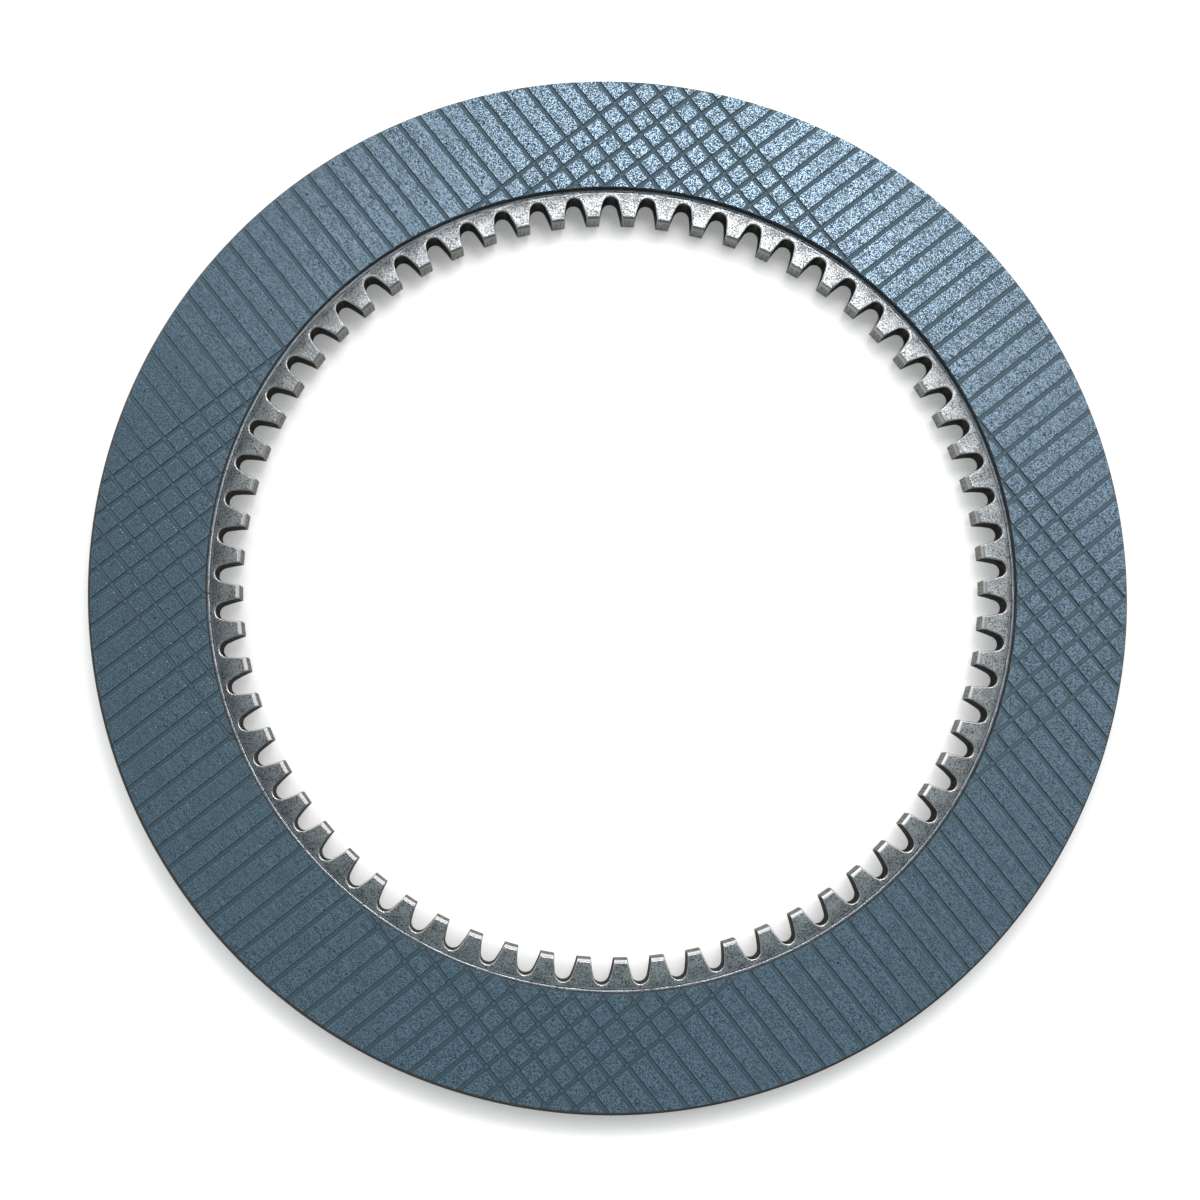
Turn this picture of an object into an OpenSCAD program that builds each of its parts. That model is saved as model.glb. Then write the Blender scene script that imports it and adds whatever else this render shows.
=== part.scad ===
// Wet clutch friction disc: a steel core plate with an internal spline,
// and a friction facing bonded to each of its faces. Each facing is cut
// by two sets of straight parallel grooves that cross at right angles.
// The origin is the middle of the disc, and +Z is its axis.

/* [Spline] */
// Number of internal teeth
teeth = 65; // [50:1:80]
// Module, which is the pitch circle's diameter over the number of teeth
tooth_module = 2; // [1.8:0.05:2.4]
// Pressure angle of the involute flanks, in degrees
pressure_angle = 14.5; // [14:0.5:20]
// Height of the tooth tips inside the pitch circle
tip_height = 2; // [1.2:0.1:2.4]
// Width of a gap between two teeth, along the pitch circle
gap_w = 3.2; // [2.9:0.05:3.4]
// Radius of the round that closes each gap
root_round = 1.35; // [1.1:0.05:1.4]
// Bevel on the tooth tips, measured along the radius
tip_bevel_w = 0.6; // [0.2:0.05:1]
// Bevel on the tooth tips, measured down the thickness
tip_bevel_h = 0.5; // [0.2:0.05:1]
// Turn of the spline against the disc's +X direction, in degrees
spline_turn = -2.5; // [-4:0.1:4]

/* [Core plate] */
// Thickness of the steel core plate
core_t = 4.4; // [2.5:0.1:8]
// Bare steel between the gaps and the facings
land_w = 1.3; // [1:0.05:6]
// Steel rim that stands out past the facings
rim_w = 0.8; // [0.4:0.1:4]
// Bevel along the outer edges of the rim
rim_bevel = 0.3; // [0.1:0.05:0.35]
// Distance of the turned line on the land from the facing's edge
line_inset = 0.75; // [0.5:0.05:0.85]
// Width of the turned line
line_w = 0.24; // [0.1:0.02:0.4]
// Depth of the turned line
line_depth = 0.1; // [0.05:0.01:0.3]

/* [Facings] */
// Thickness of each friction facing
facing_t = 1.5; // [1.2:0.1:4]
// Width of each friction facing, along the radius
facing_w = 18.85; // [10:0.05:40]

/* [Grooves] */
// Distance from one groove to the next
groove_pitch = 3.58; // [2:0.01:8]
// Width of a groove
groove_w = 0.8; // [0.3:0.05:1.5]
// Depth of a groove
groove_depth = 0.3; // [0.2:0.05:1]
// Direction of the first set of grooves, in degrees
groove_angle = 45; // [0:1:90]
// Sideways shift of the first set from the middle of the disc
first_shift = 0.9; // [-1.5:0.05:1.5]
// Sideways shift of the second set from the middle of the disc
second_shift = 0.1; // [-1.5:0.05:1.5]
// Least facing left between the outermost groove and the facing's bore
groove_margin = 1; // [0.2:0.1:3]

/* [Hidden] */
$fn = 180;
// Straight pieces of each involute flank and of each root round
flank_steps = 4;
root_steps = 8;
// How far cutting shapes run past the material that they cut
over = 1;

// Circles of the spline
pitch_r = teeth * tooth_module / 2;
base_r = pitch_r * cos(pressure_angle);
tip_r = pitch_r - tip_height;

// Involute of an angle in degrees, and the angle that has a given involute
function involute(a) = tan(a) - a * PI / 180;
function angle_of(v, a = 25, n = 8) =
    n == 0 ? a : angle_of(v, a - (involute(a) - v) / pow(tan(a), 2) * 180 / PI, n - 1);

// Half of a gap's width at radius r, as an angle in degrees
gap_half = gap_w / 2 / pitch_r;
function half_gap(r) =
    (gap_half + involute(pressure_angle) - involute(acos(base_r / r))) * 180 / PI;

// The root round touches both flanks. Its centre lies on the flanks'
// parallel curves, which are involutes of the same base circle.
root_angle = angle_of(gap_half + involute(pressure_angle) - root_round / base_r);
root_centre = base_r / cos(root_angle);
root_r = root_centre + root_round;
touch_r = norm([base_r, base_r * tan(root_angle) + root_round]);
touch_angle = atan2(touch_r * sin(half_gap(touch_r)), touch_r * cos(half_gap(touch_r)) - root_centre);

// The flanks run on a little into the bore, but not below the base circle
mouth_r = max(base_r, tip_r - over / 2);
flank = [for (i = [0:flank_steps])
    let (r = mouth_r + (touch_r - mouth_r) * i / flank_steps)
    r * [cos(half_gap(r)), sin(half_gap(r))]];
root = [for (i = [1:root_steps - 1])
    let (a = touch_angle * (1 - 2 * i / root_steps))
    [root_centre, 0] + root_round * [cos(a), sin(a)]];

// Circles of the core plate and the facings
facing_ri = root_r + land_w;
facing_ro = facing_ri + facing_w;
core_r = facing_ro + rim_w;
line_r = facing_ri - line_inset;

// The first set has a groove by the middle, and the second a gap there
groove_reach = facing_ri - groove_margin - groove_w / 2;
first_count = 2 * floor(groove_reach / groove_pitch) + 1;
second_count = 2 * floor(groove_reach / groove_pitch + 0.5);

// Half section of the turned blank, from the tooth tips to the rim
upper_edge = [
    [tip_r, core_t / 2 - tip_bevel_h],
    [tip_r + tip_bevel_w, core_t / 2],
    [line_r - line_w / 2, core_t / 2],
    [line_r, core_t / 2 - line_depth],
    [line_r + line_w / 2, core_t / 2],
    [core_r - rim_bevel, core_t / 2],
    [core_r, core_t / 2 - rim_bevel]
];
lower_edge = [for (i = [len(upper_edge) - 1:-1:0]) [upper_edge[i][0], -upper_edge[i][1]]];

// One gap between two teeth, open towards the bore
module gap() {
    polygon(concat(
        [[mouth_r - over, flank[0][1]]],
        flank,
        root,
        [for (i = [flank_steps:-1:0]) [flank[i][0], -flank[i][1]]],
        [[mouth_r - over, -flank[0][1]]]
    ));
}

// The turned blank, with the gaps broached through it
module core_plate() {
    color([0.50, 0.51, 0.51])
        difference() {
            rotate_extrude()
                polygon(concat(upper_edge, lower_edge));
            translate([0, 0, -core_t / 2 - over])
                linear_extrude(core_t + 2 * over)
                    for (i = [0:teeth - 1])
                        rotate(spline_turn + i * 360 / teeth)
                            gap();
        }
}

// Outline of a facing without its grooves
module facing_ring() {
    difference() {
        circle(r = facing_ro);
        circle(r = facing_ri);
    }
}

// Parallel grooves, which a row of saws cuts in one pass
module grooves(count, shift) {
    for (i = [0:count - 1])
        translate([-facing_ro - over, shift + (i - (count - 1) / 2) * groove_pitch - groove_w / 2])
            square([2 * (facing_ro + over), groove_w]);
}

// A facing lying on its bonded side, a whole sheet with the pads above it
module facing() {
    linear_extrude(facing_t - groove_depth)
        facing_ring();
    translate([0, 0, facing_t - groove_depth])
        linear_extrude(groove_depth)
            difference() {
                facing_ring();
                rotate(groove_angle)
                    grooves(first_count, first_shift);
                rotate(groove_angle + 90)
                    grooves(second_count, second_shift);
            }
}

module front_facing() {
    color([0.42, 0.52, 0.61])
        translate([0, 0, core_t / 2])
            facing();
}

module back_facing() {
    color([0.40, 0.50, 0.59])
        rotate([180, 0, 0])
            translate([0, 0, core_t / 2])
                facing();
}

core_plate();
front_facing();
back_facing();
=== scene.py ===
import math

import bpy
import mathutils
import numpy as np
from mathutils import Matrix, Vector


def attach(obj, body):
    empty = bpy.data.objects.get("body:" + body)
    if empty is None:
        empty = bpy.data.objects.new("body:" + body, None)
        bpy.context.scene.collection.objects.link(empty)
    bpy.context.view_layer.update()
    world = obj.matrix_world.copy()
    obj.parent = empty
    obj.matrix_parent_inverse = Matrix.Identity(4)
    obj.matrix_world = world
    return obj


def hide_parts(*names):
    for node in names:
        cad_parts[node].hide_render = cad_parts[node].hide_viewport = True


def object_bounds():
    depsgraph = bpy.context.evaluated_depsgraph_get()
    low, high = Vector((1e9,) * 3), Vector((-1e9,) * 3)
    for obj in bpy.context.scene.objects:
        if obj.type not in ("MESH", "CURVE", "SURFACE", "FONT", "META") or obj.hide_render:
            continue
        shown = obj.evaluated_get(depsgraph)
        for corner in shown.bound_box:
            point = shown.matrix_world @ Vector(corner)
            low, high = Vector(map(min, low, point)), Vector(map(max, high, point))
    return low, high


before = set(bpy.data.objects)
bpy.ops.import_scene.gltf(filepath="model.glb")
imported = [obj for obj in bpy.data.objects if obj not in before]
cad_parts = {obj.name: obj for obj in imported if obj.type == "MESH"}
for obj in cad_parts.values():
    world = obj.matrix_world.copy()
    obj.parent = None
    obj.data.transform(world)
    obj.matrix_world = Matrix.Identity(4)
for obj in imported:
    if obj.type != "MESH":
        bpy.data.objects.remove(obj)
cad_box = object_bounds()


# Core plate. A ring blanked from steel plate and ground flat on both faces.
# Its inner edge is broached into the teeth of an involute spline, and a
# tumbling drum has rolled the burrs off, which leaves a small round edge.

# Sizes are in millimetres, and MM turns them into the frame's metres
MM = 0.001
TEETH = 65
MODULE = 2.0
PITCH_RADIUS = TEETH * MODULE / 2
PRESSURE_ANGLE = math.radians(14.5)
BASE_RADIUS = PITCH_RADIUS * math.cos(PRESSURE_ANGLE)
TIP_RADIUS = PITCH_RADIUS - MODULE
GAP_WIDTH = 3.2
ROOT_ROUND = 1.35
SPLINE_TURN = math.radians(-2.5)
HALF_CORE = 2.2
BEVEL_WIDTH = 0.6
BEVEL_DROP = 0.5
RIM_RADIUS = 88.03
RIM_BEVEL = 0.3
LINE_RADIUS = 68.0
LINE_HALF_WIDTH = 0.2
LINE_DEPTH = 0.07
EDGE_ROUND = 0.24
LAND_START = 67.3
GLUE_START = 68.0
GLUE_END = 87.2
RIM_POINTS = 4
EDGE_POINTS = 5
FLANK_POINTS = 7
ROOT_POINTS = 13
TIP_POINTS = 4
TOOTH_ROWS = (65.2, 63.7, 63.62, 63.55, 63.45)
ROW_STEP = 0.01
BEVEL_SOFTNESS = 0.03
SHARP_EDGE = math.radians(32)
CORNER_LIMIT = 0.5
NEWTON_STEPS = 8
FIRST_GUESS = math.radians(25)
GRAIN_TURN = 60.0

STEEL_DARK = (0.2, 0.215, 0.225, 1)
STEEL_BRIGHT = (0.67, 0.71, 0.74, 1)
RING_DARK = (0.35, 0.4, 0.45, 1)
RING_BRIGHT = (0.82, 0.9, 0.98, 1)
# Painted shade and light on the spline's walls: the flanks are painted dark brown as shade, and the tip
# faces are painted lighter as light.
WALL_SHADE_DARK = (0.07, 0.065, 0.055, 1)
WALL_SHADE_LIGHT = (0.17, 0.16, 0.14, 1)
TIP_LIT_DARK = (0.38, 0.38, 0.36, 1)
TIP_LIT_LIGHT = (0.85, 0.84, 0.79, 1)
RIM_STEEL = (0.25, 0.23, 0.21, 1)
# Dark glue at the facing's foot, which also paints the shade that the facing throws on the steel there.
GLUE_AND_SHADE_GREY = (0.1, 0.11, 0.12, 1)
BURNISHED_STEEL = (0.93, 0.92, 0.9, 1)
PEPPER_GREY = (0.13, 0.14, 0.15, 1)
MARK_GREY = (0.2, 0.21, 0.22, 1)
SPARK_WHITE = (0.95, 0.95, 0.95, 1)


def involute(angle):
    """The involute of an angle: its tangent less the angle itself."""
    return np.tan(angle) - angle


def half_gap(radius):
    """Half the angle between two flanks at a radius.

    On the pitch circle it is half the gap's width over the radius. Inside it
    grows, and outside it shrinks, by the difference of the two involutes.
    """
    at_pitch = GAP_WIDTH / 2 / PITCH_RADIUS + involute(PRESSURE_ANGLE)
    return at_pitch - involute(np.arccos(BASE_RADIUS / radius))


def spline_outline():
    """Points along the spline's edge, all round, as one column each of x and y.

    One gap is a tooth's half tip, a flank, a round root, the other flank and
    the next half tip. The root's centre lies where the flanks' parallel
    curve, which is an involute of the same base circle, meets the gap's
    middle, and a few of Newton's steps find it. The gap is then turned round
    the axis once for each tooth.
    """
    target = half_gap(PITCH_RADIUS) + involute(PRESSURE_ANGLE) - ROOT_ROUND / BASE_RADIUS
    angle = FIRST_GUESS
    for _ in range(NEWTON_STEPS):
        angle -= (involute(angle) - target) / math.tan(angle) ** 2
    centre = BASE_RADIUS / math.cos(angle)
    touch = math.hypot(BASE_RADIUS, BASE_RADIUS * math.tan(angle) + ROOT_ROUND)
    radii = np.linspace(TIP_RADIUS, touch, FLANK_POINTS)
    flank = np.stack([radii * np.cos(half_gap(radii)), radii * np.sin(half_gap(radii))], 1)
    start = math.atan2(flank[-1, 1], flank[-1, 0] - centre)
    turn = np.linspace(start, -start, ROOT_POINTS)[1:-1]
    root = np.stack([centre + ROOT_ROUND * np.cos(turn), ROOT_ROUND * np.sin(turn)], 1)
    tip_angles = np.linspace(math.pi / TEETH, half_gap(TIP_RADIUS), TIP_POINTS)[:-1]
    tip = TIP_RADIUS * np.stack([np.cos(tip_angles), np.sin(tip_angles)], 1)
    flip = np.array([1.0, -1.0])
    gap = np.concatenate([tip, flank, root, flank[::-1] * flip, tip[:0:-1] * flip])[::-1]
    turns = SPLINE_TURN + np.arange(TEETH) * 2 * math.pi / TEETH
    cos, sin = np.cos(turns)[:, None], np.sin(turns)[:, None]
    x = gap[:, 0] * cos - gap[:, 1] * sin
    y = gap[:, 0] * sin + gap[:, 1] * cos
    return np.stack([x.ravel(), y.ravel()], 1)


def core_plate_grid():
    """The plate as a grid: one column for each point of the spline's edge.

    Each column runs round the plate's section, from the rim up over the top
    face to the spline's edge, down its wall and back under the bottom face.
    Across the teeth a row is a circle where the steel is wide enough, and
    otherwise keeps a small distance from the land by the edge. At the edge a
    point is the outline moved into the steel by a distance, and it lies lower
    by a quarter circle. At a corner of the outline it moves further, so that
    both sides keep the distance. The tips are bevelled by a cone.
    """
    edge = spline_outline()
    along = np.roll(edge, -1, 0) - edge
    along /= np.linalg.norm(along, axis=1)[:, None]
    before = np.roll(along, 1, 0)
    normal = np.stack([along[:, 1] + before[:, 1], -along[:, 0] - before[:, 0]], 1)
    normal /= np.linalg.norm(normal, axis=1)[:, None]
    lean = normal[:, 0] * along[:, 1] - normal[:, 1] * along[:, 0]
    normal /= np.clip(lean, CORNER_LIMIT, 1)[:, None]
    direction = edge / np.linalg.norm(edge, axis=1)[:, None]

    def top_height(radius):
        """The top face's height: flat, then a soft bend, and a cone inside the bevel's circle."""
        inside = (TIP_RADIUS + BEVEL_WIDTH - radius) / BEVEL_SOFTNESS
        drop = BEVEL_SOFTNESS * np.logaddexp(0, inside)
        return HALF_CORE - drop * BEVEL_DROP / BEVEL_WIDTH

    rows = []
    rim = [(RIM_RADIUS, 0.0)]
    for angle in np.linspace(0, math.pi / 2, RIM_POINTS):
        inward = RIM_BEVEL * (1 - math.cos(angle))
        down = RIM_BEVEL * (1 - math.sin(angle))
        rim.append((RIM_RADIUS - inward, HALF_CORE - down))
    rim += [(GLUE_END - 0.1, HALF_CORE), (GLUE_START + 0.5, HALF_CORE)]
    rim += [(LINE_RADIUS + LINE_HALF_WIDTH, HALF_CORE), (LINE_RADIUS, HALF_CORE - LINE_DEPTH)]
    rim += [(LINE_RADIUS - LINE_HALF_WIDTH, HALF_CORE)]
    for radius, height in rim:
        rows.append(np.column_stack([direction * radius, np.full(len(edge), height)]))
    land = edge + normal * EDGE_ROUND
    land_radius = np.linalg.norm(land, axis=1)
    toward = land / land_radius[:, None]
    for step, radius in enumerate(TOOTH_ROWS):
        ring = np.maximum(land_radius + ROW_STEP * (len(TOOTH_ROWS) - step), radius)
        rows.append(np.column_stack([toward * ring[:, None], top_height(ring)]))
    for angle in np.linspace(math.pi / 2, 0, EDGE_POINTS):
        place = edge + normal * EDGE_ROUND * (1 - math.cos(angle))
        drop = EDGE_ROUND * (1 - math.sin(angle))
        height = top_height(np.linalg.norm(place, axis=1)) - drop
        rows.append(np.column_stack([place, height]))
    half = rows[1:]
    under = [row * np.array([1.0, 1.0, -1.0]) for row in half[::-1]]
    return np.stack([rows[0]] + half + under) * MM


def closed_mesh(name, grid):
    """A mesh from a grid of points that closes on itself in both directions."""
    high, wide = grid.shape[:2]
    index = np.arange(high * wide).reshape(high, wide)
    down = np.roll(index, -1, 0)
    faces = np.stack([index, np.roll(index, -1, 1), np.roll(down, -1, 1), down], -1)
    mesh = bpy.data.meshes.new(name)
    mesh.from_pydata(grid.reshape(-1, 3), [], faces.reshape(-1, 4).tolist())
    mesh.validate()
    mesh.shade_smooth()
    mesh.set_sharp_from_angle(angle=SHARP_EDGE)
    made = bpy.data.objects.new(name, mesh)
    bpy.context.scene.collection.objects.link(made)
    return made


def wire(tree, socket, value):
    """Links a socket, or sets it to a plain value."""
    if isinstance(value, bpy.types.NodeSocket):
        tree.links.new(value, socket)
    else:
        socket.default_value = value


def place_node(tree, kind, inputs, **settings):
    """Adds a shader node with its settings and inputs."""
    made = tree.nodes.new("ShaderNode" + kind)
    for name, value in settings.items():
        setattr(made, name, value)
    for key, value in inputs.items():
        wire(tree, made.inputs[key], value)
    return made


def maths(tree, operation, *values):
    """One step of arithmetic."""
    return place_node(tree, "Math", dict(enumerate(values)), operation=operation).outputs[0]


def smooth(tree, value, low, high, start=0.0, end=1.0):
    """A smooth step from start to end while the value goes from low to high."""
    inputs = {"Value": value, "From Min": low, "From Max": high, "To Min": start, "To Max": end}
    return place_node(tree, "MapRange", inputs, interpolation_type="SMOOTHSTEP").outputs["Result"]


def blend_colours(tree, share, first, second):
    """Goes from the first colour to the second as the share goes from zero to one."""
    return place_node(tree, "Mix", {0: share, 6: first, 7: second}, data_type="RGBA").outputs[2]


def blend_values(tree, share, first, second):
    """Goes from the first value to the second as the share goes from zero to one."""
    return place_node(tree, "Mix", {0: share, 2: first, 3: second}).outputs[0]


def lay_over(tree, under, mask, strength, colour):
    """A colour over another: its share at a point is the mask times the strength."""
    return blend_colours(tree, maths(tree, "MULTIPLY", mask, strength), under, colour)


def noise(tree, place, scale, detail=2.0, roughness=0.5):
    """Fractal noise about one over scale millimetres wide."""
    inputs = {"Vector": place, "Scale": scale, "Detail": detail, "Roughness": roughness}
    return place_node(tree, "TexNoise", inputs).outputs["Fac"]


def stretch(tree, place, turn, scale):
    """The place turned about the axis, then stretched."""
    inputs = {"Vector": place, "Rotation": (0.0, 0.0, turn), "Scale": scale}
    return place_node(tree, "Mapping", inputs, vector_type="TEXTURE").outputs["Vector"]


def radius_squared(tree, x, y):
    """The square of the distance from the disc's axis: x squared plus y squared."""
    return maths(tree, "ADD", maths(tree, "MULTIPLY", x, x), maths(tree, "MULTIPLY", y, y))


def flatness(tree):
    """The size of the normal's z: one where the surface lies flat, zero where it is upright."""
    normal = place_node(tree, "NewGeometry", {}).outputs["Normal"]
    return maths(tree, "ABSOLUTE", place_node(tree, "SeparateXYZ", {0: normal}).outputs[2])


def spots_group():
    """Scattered round spots: some cells of a cell pattern hold one, near their middle.

    A cell's colour is its draw: red below the share gives it a spot, and green
    makes the spot from half to 1.3 times the size.
    """
    tree = bpy.data.node_groups.new("scattered_spots", "ShaderNodeTree")
    tree.interface.new_socket("Place", in_out="INPUT", socket_type="NodeSocketVector")
    for name in ("Scale", "Share", "Size"):
        tree.interface.new_socket(name, in_out="INPUT", socket_type="NodeSocketFloat")
    tree.interface.new_socket("Mask", in_out="OUTPUT", socket_type="NodeSocketFloat")
    given = tree.nodes.new("NodeGroupInput").outputs
    wobble = place_node(tree, "TexNoise", {"Vector": given["Place"], "Scale": 3.0, "Detail": 2.0})
    push = place_node(tree, "VectorMath", {0: wobble.outputs["Color"], "Scale": 0.3}, operation="SCALE")
    moved = place_node(tree, "VectorMath", {0: given["Place"], 1: push.outputs[0]}, operation="ADD")
    cells = place_node(tree, "TexVoronoi", {"Vector": moved.outputs[0], "Scale": given["Scale"]})
    pick = place_node(tree, "SeparateColor", {"Color": cells.outputs["Color"]}).outputs
    chosen = maths(tree, "LESS_THAN", pick["Red"], given["Share"])
    reach = maths(tree, "MULTIPLY", given["Size"], smooth(tree, pick["Green"], 0.0, 1.0, 0.5, 1.3))
    inner = maths(tree, "MULTIPLY", reach, 0.6)
    near = smooth(tree, cells.outputs["Distance"], reach, inner)
    mask = maths(tree, "MULTIPLY", near, chosen)
    tree.links.new(mask, tree.nodes.new("NodeGroupOutput").inputs["Mask"])
    return tree


spots = spots_group()


def scatter(tree, place, scale, share, size):
    """A copy of the scattered spots with its own values."""
    made = tree.nodes.new("ShaderNodeGroup")
    made.node_tree = spots
    for name, value in (("Place", place), ("Scale", scale), ("Share", share), ("Size", size)):
        wire(tree, made.inputs[name], value)
    return made.outputs["Mask"]


def new_material(name):
    """An empty material with its shader, and the place on the object in millimetres."""
    material = bpy.data.materials.new(name)
    material.use_nodes = True
    tree = material.node_tree
    shader = tree.nodes["Principled BSDF"]
    where = tree.nodes.new("ShaderNodeTexCoord").outputs["Object"]
    place = place_node(tree, "VectorMath", {0: where, "Scale": 1000.0}, operation="SCALE").outputs[0]
    return material, tree, shader, place


def ground_steel():
    """Ground steel: grain, small marks, a turned ring by the facings, bright edges, walls painted dark
    as shade and tip faces painted lighter as light.

    A point's radius is the root of x squared plus y squared, and the grain of
    the ring and the walls is laid along the turn about the axis. An edge is
    where the surface leans, and a wall where it is upright.
    """
    material, tree, shader, place = new_material("ground_steel")
    axes = place_node(tree, "SeparateXYZ", {0: place}).outputs
    x, y, z = axes[0], axes[1], axes[2]
    radius = maths(tree, "SQRT", radius_squared(tree, x, y))
    arc = maths(tree, "MULTIPLY", maths(tree, "ARCTAN2", y, x), GRAIN_TURN)
    rolled = place_node(tree, "CombineXYZ", {0: arc, 1: radius, 2: z}).outputs[0]
    flat = flatness(tree)
    wall = smooth(tree, flat, 0.55, 0.35)
    leaning = maths(tree, "MULTIPLY", smooth(tree, flat, 0.985, 0.9), smooth(tree, flat, 0.4, 0.6))
    burnished = maths(tree, "MULTIPLY", leaning, smooth(tree, radius, LAND_START + 0.1, LAND_START))
    near_facing = smooth(tree, radius, LAND_START + 0.25, LAND_START + 0.4)
    grain = noise(tree, place, 3.6, 1.0, 0.6)
    fine = noise(tree, place, 6.0, 1.0, 0.5)
    lines = noise(tree, stretch(tree, rolled, 0.0, (3.0, 0.1, 0.1)), 1.0, 2.0, 0.6)
    clouds = noise(tree, place, 0.45, 3.0, 0.55)
    marks = scatter(tree, place, 1.1, 0.35, 0.15)
    pepper = scatter(tree, place, 1.9, 0.65, 0.4)
    sparks = scatter(tree, place, 2.4, 0.5, 0.17)
    tone = maths(tree, "ADD", maths(tree, "MULTIPLY", grain, 0.4), maths(tree, "MULTIPLY", fine, 0.35))
    tone = maths(tree, "ADD", tone, maths(tree, "MULTIPLY", clouds, 0.25))
    mottled = smooth(tree, tone, 0.38, 0.62)
    face = blend_colours(tree, mottled, STEEL_DARK, STEEL_BRIGHT)
    ring = blend_colours(tree, smooth(tree, lines, 0.42, 0.58), RING_DARK, RING_BRIGHT)
    face = lay_over(tree, face, near_facing, 0.8, ring)
    # Painted shade: the steel at the facing's foot is darkened, as glue and as the facing's shade.
    glue_and_shade_inside = smooth(tree, radius, GLUE_START, GLUE_START + 0.25)
    glue_and_shade = maths(tree, "MULTIPLY", glue_and_shade_inside, smooth(tree, radius, GLUE_END, GLUE_END - 0.2))
    face = lay_over(tree, face, glue_and_shade, 0.75, GLUE_AND_SHADE_GREY)
    face = lay_over(tree, face, pepper, 0.75, PEPPER_GREY)
    face = lay_over(tree, face, marks, 0.6, MARK_GREY)
    face = lay_over(tree, face, sparks, 0.75, SPARK_WHITE)
    face = blend_colours(tree, burnished, face, BURNISHED_STEEL)
    broached = noise(tree, stretch(tree, rolled, 0.0, (0.25, 0.25, 6.0)), 1.0, 2.0)
    scored = smooth(tree, broached, 0.3, 0.7)
    # Painted shade on the upright flank walls, and painted light on the tip faces, over the broaching
    # marks.
    shaded_side = blend_colours(tree, scored, WALL_SHADE_DARK, WALL_SHADE_LIGHT)
    tip = blend_colours(tree, scored, TIP_LIT_DARK, TIP_LIT_LIGHT)
    shaded_side = blend_colours(tree, smooth(tree, radius, TIP_RADIUS + 0.2, TIP_RADIUS + 0.05), shaded_side, tip)
    colour = blend_colours(tree, wall, face, shaded_side)
    by_rim = smooth(tree, radius, GLUE_END - 0.3, GLUE_END + 0.1)
    colour = blend_colours(tree, by_rim, colour, RIM_STEEL)
    wire(tree, shader.inputs["Base Color"], colour)
    shader.inputs["Metallic"].default_value = 1.0
    rough = blend_values(tree, burnished, smooth(tree, tone, 0.38, 0.62, 0.48, 0.34), 0.3)
    wire(tree, shader.inputs["Roughness"], rough)
    fine_relief = maths(tree, "MULTIPLY", fine, 0.03)
    height = maths(tree, "ADD", fine_relief, maths(tree, "MULTIPLY", grain, 0.03))
    turned = maths(tree, "MULTIPLY", lines, near_facing)
    height = maths(tree, "ADD", height, maths(tree, "MULTIPLY", turned, 0.02))
    height = maths(tree, "SUBTRACT", height, maths(tree, "MULTIPLY", marks, 0.03))
    height = maths(tree, "MULTIPLY", height, maths(tree, "SUBTRACT", 1.0, burnished))
    bump = place_node(tree, "Bump", {"Height": height, "Distance": 0.001, "Strength": 0.8})
    wire(tree, shader.inputs["Normal"], bump.outputs[0])
    return material


core_plate = closed_mesh("core_plate_steel", core_plate_grid())
core_plate.data.materials.append(ground_steel())
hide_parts("core_plate")
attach(core_plate, "root")


# Friction facings. Rings of pressed fibre composite, bonded to both faces
# of the core. Rows of saws have cut the oil grooves, one set across the
# other, and left small chips and pits along their edges.

GROOVE_PITCH = 3.58
GROOVE_WIDTH = 0.8
FIRST_SHIFT = 0.9
SECOND_SHIFT = 0.1
FIRST_REACH = 66.2
SECOND_REACH = 68.0
PAD_HEIGHT = 3.7
SAW_DIRECTION = math.radians(135)

RESIN_DARK = (0.043, 0.113, 0.158, 1)
GRAIN_LIGHT = (0.298, 0.425, 0.56, 1)
CLOUD_BLUE = (0.14, 0.24, 0.31, 1)
FIBRE_LIGHT = (0.42, 0.54, 0.64, 1)
SPECK_LIGHT = (0.55, 0.7, 0.8, 1)
# Painted highlight along the pads' edges by the grooves.
PAD_EDGE_HIGHLIGHT = (0.42, 0.52, 0.62, 1)
PIT_DARK = (0.02, 0.035, 0.045, 1)
SMALL_PIT_DARK = (0.05, 0.085, 0.11, 1)
CHIP_DARK = (0.05, 0.08, 0.095, 1)
FLOOR_DARK = (0.112, 0.207, 0.275, 1)
FLOOR_LIGHT = (0.162, 0.288, 0.375, 1)
FLOOR_PIT_DARK = (0.05, 0.07, 0.08, 1)
# Painted shade in the corners of the groove floors.
FLOOR_CORNER_SHADE = (0.02, 0.025, 0.025, 1)
# Painted shade on the groove walls.
GROOVE_WALL_SHADE = (0.025, 0.03, 0.03, 1)


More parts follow.
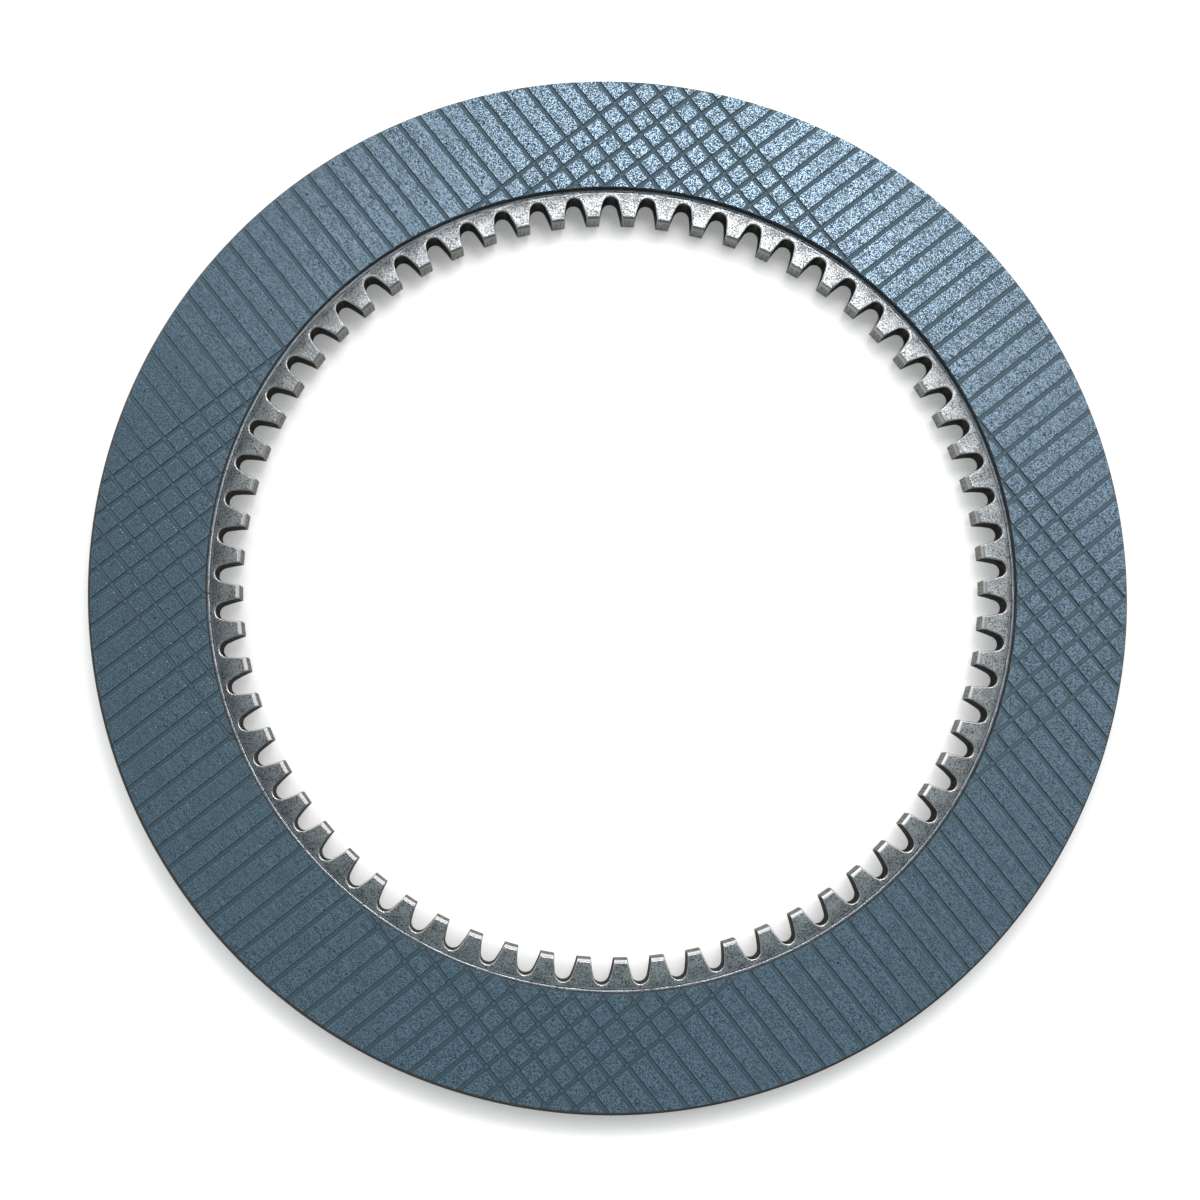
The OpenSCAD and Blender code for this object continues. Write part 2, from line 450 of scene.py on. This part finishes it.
def friction_composite():
    """Blue-grey composite: fine grains, some of them metal, short fibres, pits, groove walls painted
    near black as shade and painted shade in the grooves' corners.

    The distance from a set of grooves is the place across it, folded back and
    forth once for each pitch. On the back facing, y counts the other way. The
    grooves cross where the sine of twice the angle about the axis is near
    zero, so its size says how far a place lies in the long strips.
    """
    material, tree, shader, place = new_material("friction_composite")
    axes = place_node(tree, "SeparateXYZ", {0: place}).outputs
    x, y, z = axes[0], axes[1], axes[2]
    along = maths(tree, "MULTIPLY", y, maths(tree, "SIGN", z))
    half_root = math.sqrt(0.5)
    first = maths(tree, "MULTIPLY", maths(tree, "SUBTRACT", along, x), half_root)
    first = maths(tree, "SUBTRACT", first, FIRST_SHIFT)
    second = maths(tree, "MULTIPLY", maths(tree, "ADD", along, x), -half_root)
    second = maths(tree, "SUBTRACT", second, SECOND_SHIFT)
    has_first = maths(tree, "LESS_THAN", maths(tree, "ABSOLUTE", first), FIRST_REACH)
    has_second = maths(tree, "LESS_THAN", maths(tree, "ABSOLUTE", second), SECOND_REACH)
    first = maths(tree, "PINGPONG", first, GROOVE_PITCH / 2)
    second = maths(tree, "SUBTRACT", GROOVE_PITCH / 2, maths(tree, "PINGPONG", second, GROOVE_PITCH / 2))

    def near_wall(before, after):
        """One by a groove's walls, falling to nothing a little before and after them."""
        sides = []
        for distance, present in ((first, has_first), (second, has_second)):
            rise = smooth(tree, distance, GROOVE_WIDTH / 2 - before, GROOVE_WIDTH / 2 - before / 4)
            fall = smooth(tree, distance, GROOVE_WIDTH / 2 + after, GROOVE_WIDTH / 2 + after / 4)
            sides.append(maths(tree, "MULTIPLY", maths(tree, "MULTIPLY", rise, fall), present))
        return maths(tree, "MAXIMUM", sides[0], sides[1])

    twice_product = maths(tree, "MULTIPLY", maths(tree, "MULTIPLY", x, along), 2.0)
    double_sine = maths(tree, "DIVIDE", twice_product, radius_squared(tree, x, y))
    grain = noise(tree, place, 3.6, 1.0, 0.6)
    fine = noise(tree, place, 5.6, 1.0, 0.5)
    fibres = noise(tree, stretch(tree, place, SAW_DIRECTION, (2.2, 0.25, 1.0)), 1.0, 2.0, 0.6)
    in_strips = smooth(tree, maths(tree, "ABSOLUTE", double_sine), 0.35, 0.8, 0.1, 0.4)
    clouds = noise(tree, place, 0.14, 2.0, 0.5)
    tone = blend_values(tree, in_strips, grain, fibres)
    tone = maths(tree, "ADD", maths(tree, "MULTIPLY", tone, 0.5), maths(tree, "MULTIPLY", fine, 0.5))
    grains = smooth(tree, tone, 0.47, 0.53)
    pad = blend_colours(tree, grains, RESIN_DARK, GRAIN_LIGHT)
    pad = blend_colours(tree, smooth(tree, clouds, 0.35, 0.7, 0.0, 0.25), pad, CLOUD_BLUE)
    pits = scatter(tree, place, 0.85, 0.26, 0.18)
    small_pits = scatter(tree, stretch(tree, place, 0.4, (1.0, 0.7, 1.0)), 1.8, 0.6, 0.34)
    dark = maths(tree, "MAXIMUM", pits, small_pits)
    pad = lay_over(tree, pad, small_pits, 0.35, SMALL_PIT_DARK)
    pad = lay_over(tree, pad, pits, 0.85, PIT_DARK)
    streaks = noise(tree, stretch(tree, place, SAW_DIRECTION, (2.6, 0.17, 1.0)), 1.0, 1.0, 0.5)
    streaks = maths(tree, "MULTIPLY", smooth(tree, streaks, 0.56, 0.66), in_strips)
    pad = lay_over(tree, pad, streaks, 0.6, FIBRE_LIGHT)
    specks = scatter(tree, stretch(tree, place, 2.1, (1.3, 0.7, 1.0)), 1.3, 0.3, 0.14)
    pad = lay_over(tree, pad, specks, 0.5, SPECK_LIGHT)
    # Painted highlight: a lighter band along each pad's edge by the grooves.
    pad = lay_over(tree, pad, near_wall(0.1, 0.18), 0.4, PAD_EDGE_HIGHLIGHT)
    broken = smooth(tree, noise(tree, place, 1.8, 2.0, 0.7), 0.56, 0.62)
    chips = maths(tree, "MULTIPLY", near_wall(0.1, 0.2), broken)
    pad = lay_over(tree, pad, chips, 0.6, CHIP_DARK)
    coarse = smooth(tree, fine, 0.3, 0.7)
    floor = blend_colours(tree, coarse, FLOOR_DARK, FLOOR_LIGHT)
    floor = lay_over(tree, floor, pits, 0.5, FLOOR_PIT_DARK)
    # Painted shade: the groove floor is darkened along both walls, in the corners.
    floor = lay_over(tree, floor, near_wall(0.1, 0.1), 0.75, FLOOR_CORNER_SHADE)
    # Painted shade: the groove walls are painted near black.
    on_wall = maths(tree, "LESS_THAN", flatness(tree), 0.5)
    floor = blend_colours(tree, on_wall, floor, GROOVE_WALL_SHADE)
    on_top = smooth(tree, maths(tree, "ABSOLUTE", z), PAD_HEIGHT - 0.12, PAD_HEIGHT - 0.02)
    colour = blend_colours(tree, on_top, floor, pad)
    wire(tree, shader.inputs["Base Color"], colour)
    glazed = smooth(tree, tone, 0.47, 0.53, 0.55, 0.32)
    glazed = maths(tree, "ADD", glazed, maths(tree, "MULTIPLY", dark, 0.45))
    glazed = blend_values(tree, on_top, 0.5, glazed)
    wire(tree, shader.inputs["Roughness"], glazed)
    bronze = maths(tree, "MULTIPLY", smooth(tree, tone, 0.47, 0.53, 0.0, 0.7), on_top)
    bronze = maths(tree, "MULTIPLY", bronze, smooth(tree, dark, 0.0, 1.0, 1.0, 0.0))
    wire(tree, shader.inputs["Metallic"], bronze)
    shader.inputs["IOR"].default_value = 1.7
    relief = maths(tree, "MULTIPLY", tone, 0.06)
    height = maths(tree, "ADD", relief, maths(tree, "MULTIPLY", dark, -0.04))
    height = maths(tree, "SUBTRACT", height, maths(tree, "MULTIPLY", chips, 0.05))
    in_first = maths(tree, "LESS_THAN", first, GROOVE_WIDTH / 2)
    saw_marks = blend_values(tree, in_first, noise(tree, second, 6.0), noise(tree, first, 6.0))
    height = blend_values(tree, on_top, maths(tree, "MULTIPLY", saw_marks, 0.16), height)
    bump = place_node(tree, "Bump", {"Height": height, "Distance": 0.001, "Strength": 1.0})
    wire(tree, shader.inputs["Normal"], bump.outputs[0])
    return material


composite = friction_composite()
for name in ("front_facing", "back_facing"):
    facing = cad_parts[name]
    facing.data.materials.clear()
    facing.data.materials.append(composite)


# Studio. A white table, a strong soft lamp above the far side of the disc,
# a weak one on its left and on its right, dim walls all round, and the camera
# above the near side. Sizes here are in metres.

LAMP_WIDTH = 0.16
LAMP_DEPTH = 0.1
LAMP_COLOUR = (1.0, 0.97, 0.96)
LAMPS = [
    ("left_lamp", (-0.19, 0.15, 0.12), 0.03),
    ("far_lamp", (0.047, 0.206, 0.4), 0.63),
    ("right_lamp", (0.2, 0.08, 0.2), 0.06),
]
TABLE_REACH = 1.5
TABLE_GREY = (0.6, 0.6, 0.6, 1)
SHADE_REACH = 0.006
WALL_LIGHT = 1.5
ROOM_LIGHT = 0.06
LEFT_LIGHT = 0.2
CAMERA_PLACE = (-0.012586, -0.034573, 0.2717)
CAMERA_TURN = (6.2489, -2.9126, 6.4786)
CAMERA_LENS = 48.25


def white_table():
    """A wide white floor just under the disc.

    The camera sees it glow, a painted light that keeps it white, and the glow is as bright as the sky
    over it is open towards the far lamp's side, which paints the disc's soft shadow on the white ground.
    """
    low = cad_box[0].z
    mesh = bpy.data.meshes.new("white_table")
    sides = ((-1, -1), (1, -1), (1, 1), (-1, 1))
    corners = [(x * TABLE_REACH, y * TABLE_REACH, low) for x, y in sides]
    mesh.from_pydata(corners, [], [(0, 1, 2, 3)])
    made = bpy.data.objects.new("white_table", mesh)
    bpy.context.scene.collection.objects.link(made)
    material, tree, shader, _ = new_material("white_paper")
    seen = place_node(tree, "LightPath", {}).outputs["Is Camera Ray"]
    shader.inputs["Base Color"].default_value = TABLE_GREY
    shader.inputs["Roughness"].default_value = 1.0
    shader.inputs["Specular IOR Level"].default_value = 0.0
    toward_far_side = place_node(tree, "CombineXYZ", {0: -0.1, 1: 0.7, 2: 0.7}).outputs[0]
    shading = {"Distance": SHADE_REACH, "Normal": toward_far_side}
    open_sky = place_node(tree, "AmbientOcclusion", shading, samples=3).outputs["AO"]
    # Painted shadow: the table's glow, seen only by the camera, dims where the sky towards the far side
    # is closed.
    painted_shadow_glow = smooth(tree, open_sky, 0.3, 0.93, 0.2, 0.95)
    painted_glow = maths(tree, "MULTIPLY", seen, painted_shadow_glow)
    glow = place_node(tree, "Emission", {"Color": (1, 1, 1, 1), "Strength": painted_glow})
    both = place_node(tree, "AddShader", {0: shader.outputs[0], 1: glow.outputs[0]})
    tree.links.new(both.outputs[0], tree.nodes["Material Output"].inputs["Surface"])
    mesh.materials.append(material)
    return made


white_table()

for name, place, power in LAMPS:
    lamp = bpy.data.lights.new(name, "AREA")
    lamp.shape = "RECTANGLE"
    lamp.size = LAMP_WIDTH
    lamp.size_y = LAMP_DEPTH
    lamp.energy = power
    lamp.color = LAMP_COLOUR
    lamp_object = bpy.data.objects.new(name, lamp)
    lamp_object.location = place
    lamp_object.rotation_euler = mathutils.Vector(place).to_track_quat("Z", "Y").to_euler()
    bpy.context.scene.collection.objects.link(lamp_object)

# The walls are brightest near the table and on the far side. The left wall
# and the ceiling in front of the disc add a weak light of their own.
world = bpy.data.worlds.new("dim_walls")
world.use_nodes = True
sky = world.node_tree
direction = sky.nodes.new("ShaderNodeTexCoord").outputs["Generated"]
toward = place_node(sky, "SeparateXYZ", {0: direction}).outputs
low = smooth(sky, toward[2], 0.5, 0.12)
far = smooth(sky, toward[1], -0.2, 0.8, 0.15, 1.0)
walls = maths(sky, "MULTIPLY", maths(sky, "MULTIPLY", low, far), WALL_LIGHT)
strength = maths(sky, "ADD", walls, ROOM_LIGHT)
left = maths(sky, "MULTIPLY", smooth(sky, toward[2], 0.9, 0.7), smooth(sky, toward[0], -0.1, -0.6))
strength = maths(sky, "ADD", strength, maths(sky, "MULTIPLY", left, LEFT_LIGHT))
in_front = smooth(sky, toward[1], 0.15, -0.2, 0.07, 0.42)
ceiling = maths(sky, "MULTIPLY", smooth(sky, toward[2], 0.8, 0.95), in_front)
ceiling = maths(sky, "MULTIPLY", ceiling, smooth(sky, toward[0], -0.3, 0.1, 0.3, 1.3))
strength = maths(sky, "ADD", strength, ceiling)
tint = blend_colours(sky, low, (0.84, 1.0, 1.03, 1), (1.0, 1.0, 1.0, 1))
wire(sky, sky.nodes["Background"].inputs["Color"], tint)
wire(sky, sky.nodes["Background"].inputs["Strength"], strength)
bpy.context.scene.world = world
bpy.context.scene.view_settings.view_transform = "Standard"

camera = bpy.data.cameras.new("camera")
camera.sensor_width = 36
camera.lens = CAMERA_LENS
camera_object = bpy.data.objects.new("camera", camera)
camera_object.location = CAMERA_PLACE
camera_object.rotation_euler = [math.radians(angle) for angle in CAMERA_TURN]
bpy.context.scene.collection.objects.link(camera_object)
bpy.context.scene.camera = camera_object
